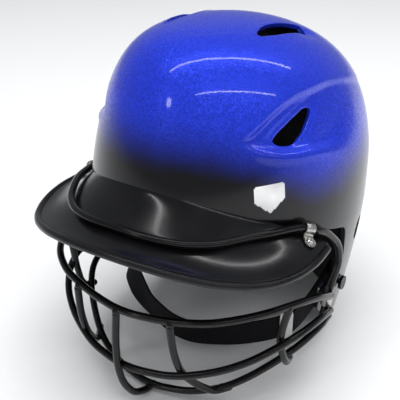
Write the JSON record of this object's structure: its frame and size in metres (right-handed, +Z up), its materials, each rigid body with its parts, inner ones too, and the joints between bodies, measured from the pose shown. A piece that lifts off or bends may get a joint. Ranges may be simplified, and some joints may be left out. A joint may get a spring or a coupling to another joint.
{
  "type": "batting helmet",
  "caption": "Hard-shell batting helmet with two ear flaps, a visor, a welded wire face guard and a chin strap on snaps.",
  "frame": {"origin": "on the floor, under the middle of the helmet's bounding box", "axes": "+Z up, +Y towards the back of the head, +X the wearer's left; the face looks along -Y"},
  "size_m": [0.2166, 0.2947, 0.257],
  "materials": {
    "shell": "metallic blue gloss lacquer that fades to black at the lower edge",
    "visor": "black gloss",
    "visor_trim": "satin bead",
    "guard_wire": "thick black gloss vinyl dip",
    "clip_metal": "zinc-plated sheet, slightly dull",
    "screws": "nickel-plated pan heads",
    "nuts": "zinc plate",
    "pad_foam": "matt black closed-cell foam with a brushed cloth face",
    "snap": "black enamelled snap",
    "snap_cap": "black snap cap",
    "webbing": "black woven webbing",
    "slider": "moulded black sleeve"
  },
  "bodies": {
    "helmet": {"shell": "shell", "visor": "visor", "visor_edge_trim": "visor_trim", "guard_frame_wire": "guard_wire", "guard_upper_bar": "guard_wire", "guard_middle_bar": "guard_wire", "guard_lower_bar": "guard_wire", "guard_centre_upright": "guard_wire", "guard_inner_upright_left": "guard_wire", "guard_inner_upright_right": "guard_wire", "guard_outer_upright_left": "guard_wire", "guard_outer_upright_right": "guard_wire", "upper_clip_left": "clip_metal", "upper_clip_right": "clip_metal", "lower_clip_left": "clip_metal", "lower_clip_right": "clip_metal", "clip_screws": "screws", "clip_nuts": "nuts", "front_pad": "pad_foam", "back_pad": "pad_foam", "crown_pad": "pad_foam", "side_pad_left": "pad_foam", "side_pad_right": "pad_foam", "ear_pad_left": "pad_foam", "ear_pad_right": "pad_foam", "snap_stud_left": "snap", "snap_stud_right": "snap"},
    "strap": {"chin_strap": "webbing", "snap_cap_left": "snap_cap", "snap_cap_right": "snap_cap", "strap_slider": "slider"}
  },
  "joints": [
    {"name": "chin_strap_swing", "type": "hinge", "parent": "helmet", "child": "strap", "pos_m": [0, 0.028, 0.057], "axis": [-1, 0, 0], "range_deg": [-8, 30]}
  ]
}
